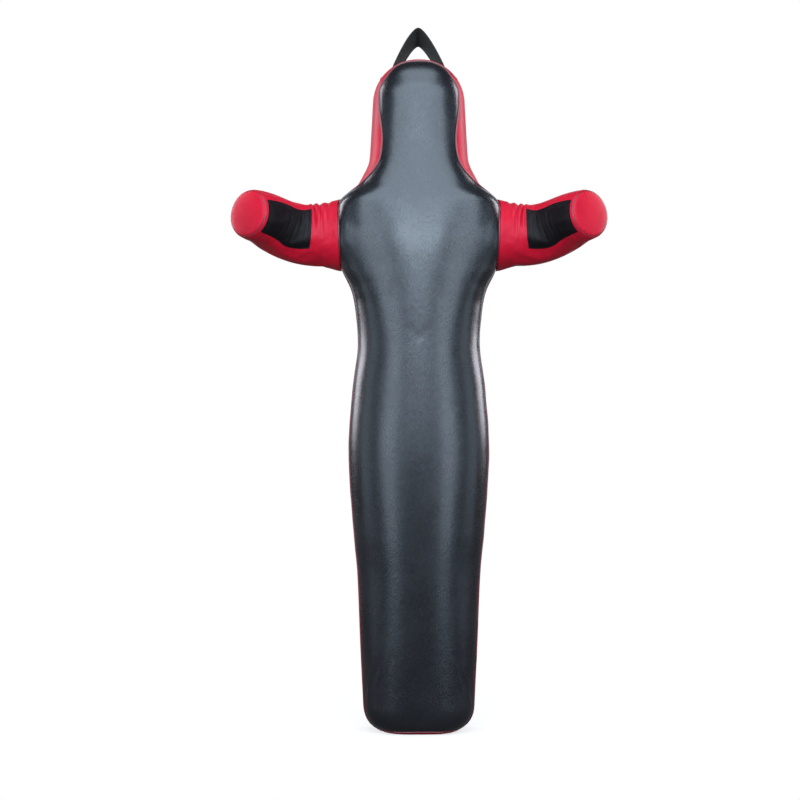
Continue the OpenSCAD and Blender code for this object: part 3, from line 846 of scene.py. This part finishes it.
def build_casing():
    grid = Grid()
    master = new_object("casing_master", grid.points, grid.faces)
    normals = point_normals(master)
    front, back = (
        [grid.column_line(col, BASE_TOP, ARM_Z - ARMHOLE_R) for col in (left, AROUND - left)]
        + [grid.over_crown(left, row)]
        for left, row in ((COL_FRONT_LEFT, ROW_SEAM_FRONT), (COL_BACK_LEFT, ROW_SEAM_BACK))
    )
    base = [[grid.base_row * AROUND + i for i in range(AROUND)]]
    arm = grid.armhole_line()
    middle = [grid.column_line(COL_BACK_MID, BASE_TOP, ZIP_LOW), grid.back_over_crown()]
    lines = front + back + base + middle + [arm, grid.mirror_line(arm)]
    shaped = hollow(grid.points)
    shaped = pull_in(shaped, normals, front, *FRONT_SINK)
    shaped = pull_in(shaped, normals, lines[len(front):], *OTHER_SINK)
    zip_line = grid.column_line(COL_BACK_MID, ZIP_LOW, ZIP_TOP)
    pinned = np.unique(np.concatenate([np.asarray(line) for line in lines + [zip_line]]))
    foot = np.nonzero(grid.points[:, 2] < BASE_TOP)[0]
    shaped += cloth_move(shaped, grid.faces, np.union1d(pinned, foot), 0.0, 60, 5 * MM)
    shaped[:, 2] = np.maximum(shaped[:, 2], 0)
    bpy.data.objects.remove(master)
    faces, names = np.array(grid.faces), np.array(grid.panels)
    for name in PANELS:
        mine = faces[names == name]
        used, index = np.unique(mine, return_inverse=True)
        obj = new_object(name + "_cover", open_zip(shaped[used], name), index.reshape(mine.shape))
        subdivide(obj)
        thicken(obj, SKIN)
        red = "gusset" in name or name == "base_panel"
        slot, material = ("red_leathercloth", RED) if red else ("black_leathercloth", BLACK)
        hidden = ["body_filling"] if name == "front_panel" else []
        finish_piece(obj, "torso", slot, material, [name] + hidden)
    return shaped, front, back, base[0], arm


shaped, front_lines, back_lines, base_line, arm_line = build_casing()


def build_piping(name, lines, nodes):
    parts = []
    for n, line in enumerate(lines):
        path = smooth_line(shaped[line])
        parts.append(tube(f"{name}_{n}", path + 0.6 * MM * unit(path * [1, 1, 0]), 2.1 * MM))
    finish_piece(join(parts, name), "torso", "crimson_piping", PIPING, nodes)


build_piping("front_piping_cord", front_lines, ["front_piping"])
build_piping("back_piping_cord", back_lines, ["back_piping"])
base_path = smooth_line(shaped[base_line], closed=True)
base_cord = tube("base_welt_cord", base_path, 1.8 * MM, closed=True, up=(0, 0, 1))
finish_piece(base_cord, "torso", "crimson_piping", PIPING, ["base_welt"])

# ---------------------------------------------------------------- arms
# Sleeve: distance from the pivot along the arm, and radius, in mm
SLEEVE = np.array([
    [-10, 79], [0, 78.2], [12, 74.5], [28, 70.5], [48, 67.5], [80, 65.5], [112, 63], [150, 60.5],
    [190, 57.5], [220, 54.5], [236, 52.2], [241, 50.6],
]) * MM


def turn_at(s):
    return np.radians(ARM_TURN) * ease((s - 0.020) / 0.180)


def rise_at(s):
    u = np.clip((s - 0.040) / 0.200, 0, 1)
    return np.radians(8 * u + 15 * np.sin(np.pi * u) ** 2)


def arm_axes(s):
    """Along the arm, towards its front, and upwards, at a distance s from the pivot."""
    t, r = turn_at(s), rise_at(s)
    ahead = np.stack([np.cos(r) * np.cos(t), -np.cos(r) * np.sin(t), np.sin(r)], -1)
    fore = np.stack([-np.sin(t), -np.cos(t), np.zeros_like(t)], -1)
    return ahead, fore, np.cross(fore, ahead)


AXIS_S = np.linspace(0, ARM_LEN + 0.02, 400)
AXIS = PIVOT + np.concatenate([[[0, 0, 0]], np.cumsum(
    (arm_axes(AXIS_S)[0][:-1] + arm_axes(AXIS_S)[0][1:]) / 2 * np.diff(AXIS_S)[:, None], axis=0)])


def axis_at(s):
    inside = np.stack([np.interp(s, AXIS_S, AXIS[:, c]) for c in range(3)], -1)
    return inside + np.minimum(s, 0)[..., None] * np.array([1.0, 0, 0])


def arm_surface(s, a, out=0.0):
    """The sleeve's surface at distance s and angle a: 0 is the front, 90 degrees the top."""
    _, fore, up = arm_axes(s)
    r = along(SLEEVE, 1, s) + out
    return axis_at(s) + r[..., None] * (np.cos(a)[..., None] * fore + np.sin(a)[..., None] * up)


ARM_COLS = 96                # steps round the sleeve, and along it
SLEEVE_STEPS = 60
ROOT_END = 46 * MM

# Folds across the sleeve: distance along the arm, slant, width and depth, and the angles they run between
FOLDS = [
    [57, 3, 4.0, 3.4, 8, 108], [42, 4, 4.4, 3.2, 12, 112], [27, -3, 4.8, 2.4, 24, 112],
    [50, -4, 3.0, 0.7, -30, 25], [35, 4, 3.4, 0.6, 95, 150], [66, 3, 3.0, 0.8, 62, 130],
    [229, 2, 3.0, 1.0, 62, 140], [221, -3, 3.2, 0.7, 70, 150], [214, 4, 4.0, 0.7, -100, -45],
]


def creases(s, a, other):
    """Folds that the bend of the arm gathers on its front and upper faces; the two arms differ a little."""
    depth = np.zeros(s.shape)
    for n, (middle, slant, width, deep, low, high) in enumerate(FOLDS):
        turn = np.degrees((a + math.pi / 2) % (2 * math.pi) - math.pi / 2)
        centre = (low + high) / 2 + other * 6 * math.sin(3 * n)
        reach = (high - low) / 2
        fade = ease(1.4 - np.abs(turn - centre) / reach)
        line = middle + other * 2.5 * math.sin(5 * n + 1) + slant * np.sin((turn - centre) / reach * 1.4)
        off = (s / MM - line) / width
        ridges = 0.6 * np.exp(-(off - 1.6) ** 2) + 0.5 * np.exp(-(off + 1.5) ** 2)
        depth += deep * MM * fade * (ridges - np.exp(-off ** 2))
    return depth


class Sleeve:
    """One sleeve's settled cloth: a grid over the distance along the arm and the angle round it."""

    def __init__(self, side):
        self.side = side
        a = np.linspace(0, 2 * math.pi, ARM_COLS, endpoint=False)
        s, a = np.meshgrid(np.linspace(0, ARM_LEN, SLEEVE_STEPS + 1), a, indexing="ij")
        out = creases(s, a, side < 0)
        start = arm_surface(s, a, out)
        faces = [face[::-1] for face in quads(SLEEVE_STEPS + 1, ARM_COLS, True)]
        last = SLEEVE_STEPS * ARM_COLS
        pinned = np.concatenate([np.arange(2 * ARM_COLS), np.arange(last, last + ARM_COLS)])
        move = cloth_move(start.reshape(-1, 3), faces, pinned, 0.006, 40, 2.5 * MM)
        move = move.reshape(s.shape + (3,))
        _, fore, up = arm_axes(s)
        radial = np.cos(a)[..., None] * fore + np.sin(a)[..., None] * up
        self.out = out + (move * radial).sum(-1)

    def push(self, s, a):
        """How far the settled cloth stands out at distance s and angle a."""
        u = np.clip(s / ARM_LEN, 0, 0.99999) * SLEEVE_STEPS
        v = (a / (2 * math.pi) * ARM_COLS) % ARM_COLS
        i, j = np.floor(u).astype(int), np.floor(v).astype(int)
        fu, fv, k = u - i, v - j, (j + 1) % ARM_COLS
        j = j % ARM_COLS
        low = self.out[i, j] * (1 - fv) + self.out[i, k] * fv
        high = self.out[i + 1, j] * (1 - fv) + self.out[i + 1, k] * fv
        return low * (1 - fu) + high * fu

    def at(self, s, a, out=0.0):
        return arm_surface(s, a, self.push(s, a) + out) * [self.side, 1, 1]


def sleeve_grid(s_low, s_high, rows, follow_hole):
    a = np.linspace(0, 2 * math.pi, ARM_COLS, endpoint=False)
    v = np.linspace(0, 1, rows)
    s = s_low + (s_high - s_low) * v[:, None] + np.zeros(ARM_COLS)
    if follow_hole:
        hole_x = side_x(-ARMHOLE_R * np.cos(a), ARM_Z + ARMHOLE_R * np.sin(a)) - PIVOT[0]
        s = hole_x[None] + (s_high - hole_x[None]) * v[:, None]
    return s, np.broadcast_to(a, s.shape)


def sheet_of(name, points, side, closed=True):
    """A sheet from a grid of points along and round an arm, with its outer face outwards."""
    faces = quads(*points.shape[:2], closed)
    return new_object(name, points.reshape(-1, 3), faces if side < 0 else [face[::-1] for face in faces])


def end_axes(side):
    ahead, fore, up = (v[0] for v in arm_axes(np.array([ARM_LEN])))
    flip = np.array([side, 1, 1])
    return axis_at(np.array([ARM_LEN]))[0] * flip, ahead * flip, fore * flip, up * flip


def build_arm(word, side):
    cloth = Sleeve(side)
    s, a = sleeve_grid(0, ROOT_END, 22, True)
    root = sheet_of(f"{word}_sleeve_root", cloth.at(s, a), side)
    subdivide(root)
    thicken(root, SKIN)
    finish_piece(root, None, "red_leathercloth", RED, [f"{word}_sleeve", f"{word}_shoulder_wad"])
    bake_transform(root)

    s, a = sleeve_grid(ROOT_END - 4 * MM, ARM_LEN, 90, False)
    fore_sleeve = sheet_of(f"{word}_forearm_sleeve", cloth.at(s, a, 0.15 * MM), side)
    subdivide(fore_sleeve)
    thicken(fore_sleeve, SKIN)
    finish_piece(fore_sleeve, None, "red_leathercloth", RED, [f"{word}_sleeve", f"{word}_arm_filling"])
    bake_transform(fore_sleeve)

    build_cap(word, side)
    build_patch(word, side, cloth)
    path = smooth_line(shaped[arm_line], closed=True) * [side, 1, 1]
    welt = tube(f"{word}_armhole_cord", path, 2.0 * MM, closed=True, up=(side, 0, 0))
    finish_piece(welt, "torso", "crimson_piping", PIPING, [f"{word}_armhole_welt"])


def build_cap(word, side):
    centre, ahead, fore, up = end_axes(side)
    turn = np.linspace(0, 2 * math.pi, ARM_COLS, endpoint=False)
    rings = []
    for t in np.linspace(0, 1, 26):
        r = CAP_R * math.sin(t * math.pi / 2) if t < 1 else CAP_R
        rings.append((r, 1.0 * MM + 8.5 * MM * math.cos(t * math.pi / 2) ** 0.8))
    points, faces = [centre + ahead * rings[0][1]], []
    for r, h in rings[1:]:
        ripple = 0.5 * MM * np.sin(turn * 31 + 2 * np.sin(turn * 3)) * (r / CAP_R) ** 8
        rim = centre + ahead * h + ahead * ripple[:, None]
        rim = rim + r * (np.cos(turn)[:, None] * fore + np.sin(turn)[:, None] * up)
        points.extend(rim)
    for i in range(ARM_COLS):
        k = (i + 1) % ARM_COLS
        faces.append([0, 1 + i, 1 + k])
        for j in range(len(rings) - 2):
            a = 1 + j * ARM_COLS
            faces.append([a + i, a + ARM_COLS + i, a + ARM_COLS + k, a + k])
    if side > 0:
        faces = [f[::-1] for f in faces]
    cap = new_object(f"{word}_fist_cap_cover", points, faces)
    subdivide(cap)
    thicken(cap, SKIN)
    finish_piece(cap, f"{word}_arm", "red_leathercloth", RED, [f"{word}_fist_cap"])
    rim = centre + ahead * 0.4 * MM + (CAP_R + 0.2 * MM) * (
        np.cos(turn)[:, None] * fore + np.sin(turn)[:, None] * up)
    welt = tube(f"{word}_cap_cord", rim, 1.5 * MM, closed=True, up=ahead)
    finish_piece(welt, f"{word}_arm", "crimson_piping", PIPING, [f"{word}_cap_welt"])


PATCH_FROM, PATCH_TO = 72 * MM, ARM_LEN - 5 * MM
# Share of the patch's length, and the angles of its lower and upper edges round the arm
PATCH_EDGES = np.array([[0, -31, 53], [0.5, -50, 37], [1, -49, 33]])


def patch_place(v, u):
    """Distance along the arm and angle round it, at shares v and u of the patch's length and width."""
    low, high = along(PATCH_EDGES, 1, v), along(PATCH_EDGES, 2, v)
    return PATCH_FROM + (PATCH_TO - PATCH_FROM) * v, np.radians(low * (1 - u) + high * u)


# Creases across the patch: distance along the arm, width and depth in mm
PATCH_CREASES = [
    (80, 4, 1.0), (92, 5, 0.7), (108, 4, 0.9), (121, 6, 0.6), (139, 4, 0.9), (153, 5, 0.7), (170, 4, 1.0),
    (188, 5, 0.8), (204, 4, 0.8),
]
PATCH_WIDE, PATCH_LONG = 105, 160        # mm, about, round the arm and along it
SEWN_IN = 3.5                            # mm, from the patch's edge to its sewing


def build_patch(word, side, cloth):
    rows, cols = 110, 70
    v, u = np.linspace(0, 1, rows)[:, None], np.linspace(0, 1, cols)[None]
    s, a = patch_place(*np.broadcast_arrays(v, u))
    edge = np.minimum(np.minimum(u, 1 - u) * PATCH_WIDE, np.minimum(v, 1 - v) * PATCH_LONG)
    inner = ease((edge - 3) / 14)
    fold = np.zeros(s.shape)
    for n, (middle, width, deep) in enumerate(PATCH_CREASES):
        line = middle + 3 * np.sin(2 * a + n * 1.7) + (2 * np.sin(7 * n) if side < 0 else 0)
        fold -= deep * np.exp(-((s / MM - line) / width) ** 2) * (0.55 + 0.45 * np.sin(3 * a + 2.3 * n))
    seam = -0.5 * np.exp(-((edge - SEWN_IN) / 1.4) ** 2)
    raised = (1.0 + 1.5 * inner + fold * inner + seam) * MM
    patch = sheet_of(f"{word}_forearm_patch_cover", cloth.at(s, a, raised), side, False)
    subdivide(patch)
    thicken(patch, 1.2 * MM)
    finish_piece(patch, None, "patch_leathercloth", PATCH, [f"{word}_forearm_patch"])
    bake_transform(patch)

    low_v, low_u = SEWN_IN / 164, SEWN_IN / 88   # 164 along the arm's middle, 88 round it at the narrow end
    t = np.linspace(0, 1, 120)
    there, back = low_v + (1 - 2 * low_v) * t, 1 - low_v - (1 - 2 * low_v) * t
    up, down = low_u + (1 - 2 * low_u) * t, 1 - low_u - (1 - 2 * low_u) * t
    still = np.ones(120)
    loop_v = np.concatenate([there, still * (1 - low_v), back, still * low_v])
    loop_u = np.concatenate([still * low_u, up, still * (1 - low_u), down])
    loop_s, loop_a = patch_place(loop_v, loop_u)
    path = cloth.at(loop_s, loop_a, 1.05 * MM)
    above = cloth.at(loop_s, loop_a, 2.05 * MM)
    sewing = stitches(f"{word}_patch_stitches", path, unit(above - path))
    finish_piece(sewing, None, "patch_leathercloth", BLACK_THREAD)
    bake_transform(sewing)


for arm_word, arm_side in (("left", 1), ("right", -1)):
    build_arm(arm_word, arm_side)

# ---------------------------------------------------------------- handle
STRAP_W, STRAP_T, STRAP_H, STRAP_X = 50 * MM, 2.6 * MM, 180 * MM, 60 * MM
STRAP_LEAN = math.radians(50)
LOOP_UP = np.array([0, math.sin(STRAP_LEAN), math.cos(STRAP_LEAN)])
LOOP_OVER = np.array([0, math.cos(STRAP_LEAN), -math.sin(STRAP_LEAN)])
ARCH_BEND = 0.68             # 0.5 would be a round arch, 1 a straight-sided one
HANDLE_AT = np.array(next(j["pos_m"] for j in frame["joints"] if j["name"] == "handle_tip"))


def strap_place(x, v, w):
    """A point of the loop: across the body, up in the loop's plane, and across the webbing."""
    return HANDLE_AT + np.array([1, 0, 0]) * x[..., None] + LOOP_UP * v[..., None] + LOOP_OVER * w[..., None]


TAB_END = 84 * MM
TAB_RISE = 1.9 * MM          # middle of the webbing above the leathercloth
CUP = 1.2 * MM               # how far the webbing's edges curl down


def outside(p):
    """Less than 1 inside the head, more than 1 outside it."""
    w, front, back, n = section(CROWN_Z)
    k2 = 1 - (np.clip(p[..., 2] - CROWN_Z, 0, CROWN_R * 0.9999) / CROWN_R) ** 2
    d = np.where(p[..., 1] < 0, front, back)
    flat = ((np.abs(p[..., 0]) / w) ** n + (np.abs(p[..., 1]) / d) ** n) ** (1 / n)
    return flat / np.sqrt(k2)


def crown_height(x, w):
    """How high the crown's surface lies in the loop's own frame at x, w."""
    low, high = np.full(np.shape(x), -120 * MM), np.full(np.shape(x), 60 * MM)
    for _ in range(40):
        middle = (low + high) / 2
        inside = outside(strap_place(x, middle, w)) < 1
        low, high = np.where(inside, middle, low), np.where(inside, high, middle)
    return low


def build_handle():
    cols = 15
    w = np.linspace(-STRAP_W / 2, STRAP_W / 2, cols)
    tab_x = np.linspace(TAB_END, 70 * MM, 14)
    tab = np.zeros((14, cols, 2))
    for i, x in enumerate(tab_x):
        here = crown_height(np.full(cols, x), w)
        ahead = crown_height(np.full(cols, x + MM), w)
        lean = np.arctan2(ahead - here, MM)
        tab[i] = np.stack([x - np.sin(lean) * TAB_RISE, here + np.cos(lean) * TAB_RISE], -1)
    rise_v = 20 * MM
    top = np.array([STRAP_X * (1 - rise_v / STRAP_H) ** ARCH_BEND, rise_v])
    corner = np.stack([np.full(cols, 61 * MM), crown_height(np.full(cols, 61 * MM), w) + TAB_RISE], -1)
    t = np.linspace(0, 1, 16)[1:, None, None]
    bend = (1 - t) ** 2 * tab[-1][None] + 2 * t * (1 - t) * corner[None] + t * t * top
    u = np.linspace(0, 1, 60)[1:]
    v = rise_v + (STRAP_H - rise_v) * (1 - (1 - u) ** 2)
    x = STRAP_X * np.maximum(1 - v / STRAP_H, 0) ** ARCH_BEND
    rounded = 1.4 * MM
    v = v - rounded * (1 - np.minimum(x / (6 * MM), 1)) ** 2
    loop = np.repeat(np.stack([x, v], -1)[:, None], cols, axis=1)
    half = np.concatenate([tab, bend, loop])
    other = half[:-1][::-1] * [-1, 1]
    full = np.concatenate([half, other])
    ripple = 0.5 * MM * np.outer(np.sin(np.linspace(0, 26, len(full))), np.cos(np.linspace(-2, 2, cols)))
    cup = -CUP * (w[None] / (STRAP_W / 2)) ** 2
    points = strap_place(full[..., 0], full[..., 1] + ripple + cup, np.broadcast_to(w, full.shape[:2]))
    faces = [[a, d, c, b] for a, b, c, d in quads(len(full), cols, False)]
    strap = new_object("handle_webbing", points.reshape(-1, 3), faces)
    gone = distances(points[:, cols // 2])
    uv = strap.data.uv_layers.new(name="UVMap")
    for loop_corner in strap.data.loops:
        j, i = divmod(loop_corner.vertex_index, cols)
        uv.data[loop_corner.index].uv = (w[i], gone[j])
    subdivide(strap)
    thicken(strap, STRAP_T, 0)
    finish_piece(strap, None, "webbing", WEBBING, ["handle_strap", "handle_tab_left", "handle_tab_right"])
    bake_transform(strap)
    build_tab_stitches()


def build_tab_stitches():
    """Each end of the webbing is sewn down with a box and a cross."""
    rows = []
    near, far, wide = 65 * MM, 81 * MM, 20 * MM
    for side in (1, -1):
        box = [(near, -wide), (far, -wide), (far, wide), (near, wide)]
        corners = [*box, box[0], box[2], box[1], box[3]]
        for (x_a, w_a), (x_b, w_b) in zip(corners[:-1], corners[1:]):
            t = np.linspace(0, 1, 24)
            x, w = x_a + (x_b - x_a) * t, w_a + (w_b - w_a) * t
            v = crown_height(x, w)
            lean = np.arctan((crown_height(x + MM, w) - v) / MM)
            rise = TAB_RISE + STRAP_T / 2 + 0.1 * MM
            cup = -CUP * (w / (STRAP_W / 2)) ** 2
            path = strap_place(side * (x - np.sin(lean) * rise), v + np.cos(lean) * rise + cup, w)
            out = unit(strap_place(side * -np.sin(lean), np.cos(lean), 0 * w) - HANDLE_AT)
            rows.append(stitches("tab_row", path, out))
    finish_piece(join(rows, "handle_tab_stitches"), "torso", "webbing", BLACK_THREAD)


build_handle()

# ---------------------------------------------------------------- CAD pieces that stay, with their materials
STAYING = {
    "zip_tape_left": ZIP_TAPE, "zip_tape_right": ZIP_TAPE,
    "zip_teeth_left": ZIP_TEETH, "zip_teeth_right": ZIP_TEETH,
    "zip_top_stop": ZIP_METAL, "zip_bottom_stop": ZIP_METAL,
    "zip_slider": ZIP_METAL, "zip_pull": ZIP_METAL,
}
for node_name, material in STAYING.items():
    node_object = frame["nodes"][node_name]
    node_object.data.materials.clear()
    node_object.data.materials.append(material)

# ---------------------------------------------------------------- stage, lights and camera


def build_stage():
    """Pale paper that fades into the white of the room away from the foot."""
    bpy.ops.mesh.primitive_circle_add(vertices=128, radius=9, fill_type="NGON")
    floor = bpy.context.object
    floor.name = "floor"
    m = Nodes("floor_paper")
    seen = m.add("LightPath").outputs["Is Camera Ray"]
    m.put("Base Color", m.span(seen, 0.12, 0.8))
    m.put("Roughness", 0.95)
    m.put("Specular IOR Level", 0.1)
    m.put("Normal", m.bump(m.noise(400, 2), 0.0001, 0.1))
    glow = m.add("Emission")
    m.link(m.span(seen, 0.15, 1.0), glow.inputs["Strength"])
    away = m.add("VectorMath", operation="LENGTH")
    m.link(m.place, away.inputs[0])
    mix = m.add("MixShader")
    m.link(m.span(away.outputs["Value"], 0.72, 1.0, 0.15, 0.9), mix.inputs["Fac"])
    m.link(m.shader.outputs[0], mix.inputs[1])
    m.link(glow.outputs[0], mix.inputs[2])
    m.link(mix.outputs[0], m.out.inputs["Surface"])
    floor.data.materials.append(m.material)


def area_light(name, place, aim, size, power, colour):
    data = bpy.data.lights.new(name, "AREA")
    data.shape = "RECTANGLE"
    data.size, data.size_y = size
    data.energy = power
    data.color = colour
    obj = bpy.data.objects.new(name, data)
    obj.location = place
    obj.rotation_euler = (Vector(aim) - Vector(place)).to_track_quat("-Z", "Y").to_euler()
    obj.visible_camera = False
    bpy.context.scene.collection.objects.link(obj)


def build_world(camera_white, ambient):
    world = bpy.data.worlds.new("studio")
    bpy.context.scene.world = world
    world.use_nodes = True
    tree = world.node_tree
    tree.nodes.clear()
    out = tree.nodes.new("ShaderNodeOutputWorld")
    mix = tree.nodes.new("ShaderNodeMixShader")
    path = tree.nodes.new("ShaderNodeLightPath")
    dim, white = tree.nodes.new("ShaderNodeBackground"), tree.nodes.new("ShaderNodeBackground")
    dim.inputs["Color"].default_value = white.inputs["Color"].default_value = (1, 1, 1, 1)
    dim.inputs["Strength"].default_value = ambient
    white.inputs["Strength"].default_value = camera_white
    tree.links.new(path.outputs["Is Camera Ray"], mix.inputs["Fac"])
    tree.links.new(dim.outputs[0], mix.inputs[1])
    tree.links.new(white.outputs[0], mix.inputs[2])
    tree.links.new(mix.outputs[0], out.inputs["Surface"])


def build_camera():
    distance, frame_width, height, shift_right = 5.0, 1.788, 0.739, -0.042
    data = bpy.data.cameras.new("camera")
    data.sensor_width = 36
    data.lens = data.sensor_width * distance / frame_width
    data.clip_end = 100
    camera = bpy.data.objects.new("camera", data)
    camera.location = (shift_right, -distance, height)
    camera.rotation_euler = (math.pi / 2, 0, 0)
    bpy.context.scene.collection.objects.link(camera)
    bpy.context.scene.camera = camera


build_stage()
build_world(1.0, 0.07)
COOL = (0.76, 0.88, 1.0)
for x in (-1, 1):
    area_light("strip_light", (1.6 * x, -2.9, 0.78), (0, 0, 0.75), (1.0, 1.7), 34, COOL)
    area_light("outer_light", (3.1 * x, -1.1, 0.9), (0, 0, 0.9), (1.5, 1.8), 16, COOL)
    area_light("side_light", (2.6 * x, 1.35, 1.9), (0, 0, 1.3), (1.5, 2.4), 76, (0.97, 0.93, 1.0))
area_light("front_softbox", (0, -2.5, 2.55), (0, 0, 1.25), (4.6, 2.0), 166, COOL)
area_light("chest_light", (0, -2.7, 1.3), (0, 0, 1.1), (0.9, 0.5), 26, COOL)
area_light("crown_light", (0, -0.9, 3.4), (0, 0, 1.4), (1.6, 2.0), 46, COOL)
area_light("back_light", (0, 2.6, 1.5), (0, 0, 0.8), (2.2, 1.8), 16, COOL)
build_camera()
bpy.context.scene.view_settings.view_transform = "Standard"
